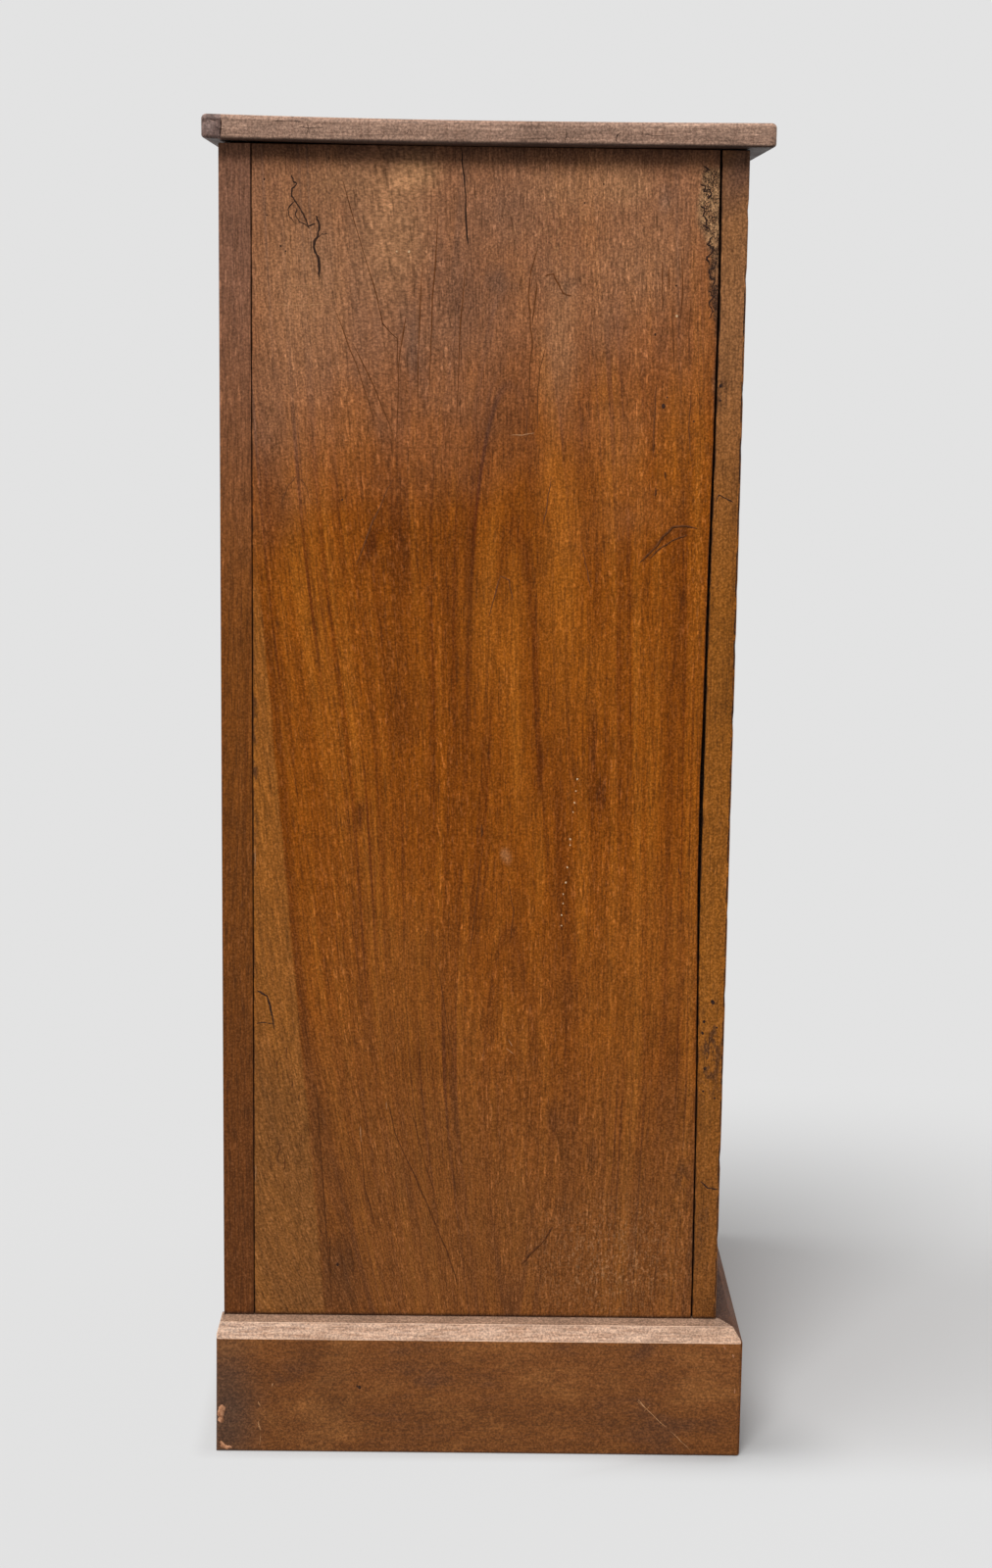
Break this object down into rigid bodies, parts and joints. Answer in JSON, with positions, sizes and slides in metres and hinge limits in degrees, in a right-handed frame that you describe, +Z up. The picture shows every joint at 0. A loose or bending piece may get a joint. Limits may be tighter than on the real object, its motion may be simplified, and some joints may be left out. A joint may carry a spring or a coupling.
{
  "type": "wellington chest",
  "caption": "Tall narrow chest of graduated drawers on a plinth, with a hinged stile that locks over the drawer ends.",
  "frame": {"origin": "on the floor, below the middle of the top", "axes": "+X to the right of someone facing the drawers, +Y to the back, +Z up"},
  "size_m": [0.568, 0.459, 1.12],
  "materials": {
    "side_wood": "old waxed polish, worn and dry in places",
    "stile_wood": "old waxed polish, worn on the arrises",
    "top_wood": "old waxed polish, dulled",
    "plinth_wood": "old waxed polish, scuffed",
    "drawer_face_wood": "satin waxed polish",
    "knob_wood": "polished by hands",
    "drawer_lining": "bare planed wood",
    "back_wood": "bare wood, darkened by age",
    "brass": "aged, tarnished",
    "lock_steel": "dark, oiled"
  },
  "bodies": {
    "carcass": {"top_board": "top_wood", "top_back_lipping": "top_wood", "left_side": "side_wood", "right_side": "side_wood", "left_pilaster": "stile_wood", "back_stiles": "stile_wood", "back_rails": "back_wood", "back_panels": "back_wood", "carcass_bottom": "drawer_lining", "drawer_rails": "drawer_face_wood", "drawer_runners": "drawer_lining", "drawer_guides": "drawer_lining", "plinth_front": "plinth_wood", "plinth_left": "plinth_wood", "plinth_right": "plinth_wood", "plinth_back": "plinth_wood", "plinth_blocks": "drawer_lining", "lock_keeper": "brass", "hinge_carcass_leaves": "brass", "hinge_pins": "lock_steel"},
    "locking_stile": {"locking_stile": "stile_wood", "hinge_stile_leaves": "brass", "lock_case": "brass", "escutcheon": "brass"},
    "lock_bolt": {"lock_bolt": "lock_steel"},
    "drawer_1": {"drawer_1_front": "drawer_face_wood", "drawer_1_sides": "drawer_lining", "drawer_1_back": "drawer_lining", "drawer_1_bottom": "drawer_lining", "drawer_1_knobs": "knob_wood"},
    "drawer_2": {"drawer_2_front": "drawer_face_wood", "drawer_2_sides": "drawer_lining", "drawer_2_back": "drawer_lining", "drawer_2_bottom": "drawer_lining", "drawer_2_knobs": "knob_wood"},
    "drawer_3": {"drawer_3_front": "drawer_face_wood", "drawer_3_sides": "drawer_lining", "drawer_3_back": "drawer_lining", "drawer_3_bottom": "drawer_lining", "drawer_3_knobs": "knob_wood"},
    "drawer_4": {"drawer_4_front": "drawer_face_wood", "drawer_4_sides": "drawer_lining", "drawer_4_back": "drawer_lining", "drawer_4_bottom": "drawer_lining", "drawer_4_knobs": "knob_wood"},
    "drawer_5": {"drawer_5_front": "drawer_face_wood", "drawer_5_sides": "drawer_lining", "drawer_5_back": "drawer_lining", "drawer_5_bottom": "drawer_lining", "drawer_5_knobs": "knob_wood"},
    "drawer_6": {"drawer_6_front": "drawer_face_wood", "drawer_6_sides": "drawer_lining", "drawer_6_back": "drawer_lining", "drawer_6_bottom": "drawer_lining", "drawer_6_knobs": "knob_wood"},
    "drawer_7": {"drawer_7_front": "drawer_face_wood", "drawer_7_sides": "drawer_lining", "drawer_7_back": "drawer_lining", "drawer_7_bottom": "drawer_lining", "drawer_7_knobs": "knob_wood"}
  },
  "joints": [
    {"name": "locking_stile_swing", "type": "hinge", "parent": "carcass", "child": "locking_stile", "pos_m": [0.2635, -0.184, 0.56], "axis": [0, 0, 1], "range_deg": [-90, 85]},
    {"name": "lock_bolt_slide", "type": "slide", "parent": "locking_stile", "child": "lock_bolt", "axis": [0, 0, 1], "range_m": [0, 0.008]},
    {"name": "drawer_1_slide", "type": "slide", "parent": "carcass", "child": "drawer_1", "axis": [0, -1, 0], "range_m": [0, 0.3]},
    {"name": "drawer_2_slide", "type": "slide", "parent": "carcass", "child": "drawer_2", "axis": [0, -1, 0], "range_m": [0, 0.3]},
    {"name": "drawer_3_slide", "type": "slide", "parent": "carcass", "child": "drawer_3", "axis": [0, -1, 0], "range_m": [0, 0.3]},
    {"name": "drawer_4_slide", "type": "slide", "parent": "carcass", "child": "drawer_4", "axis": [0, -1, 0], "range_m": [0, 0.3]},
    {"name": "drawer_5_slide", "type": "slide", "parent": "carcass", "child": "drawer_5", "axis": [0, -1, 0], "range_m": [0, 0.3]},
    {"name": "drawer_6_slide", "type": "slide", "parent": "carcass", "child": "drawer_6", "axis": [0, -1, 0], "range_m": [0, 0.3]},
    {"name": "drawer_7_slide", "type": "slide", "parent": "carcass", "child": "drawer_7", "axis": [0, -1, 0], "range_m": [0, 0.3]}
  ]
}
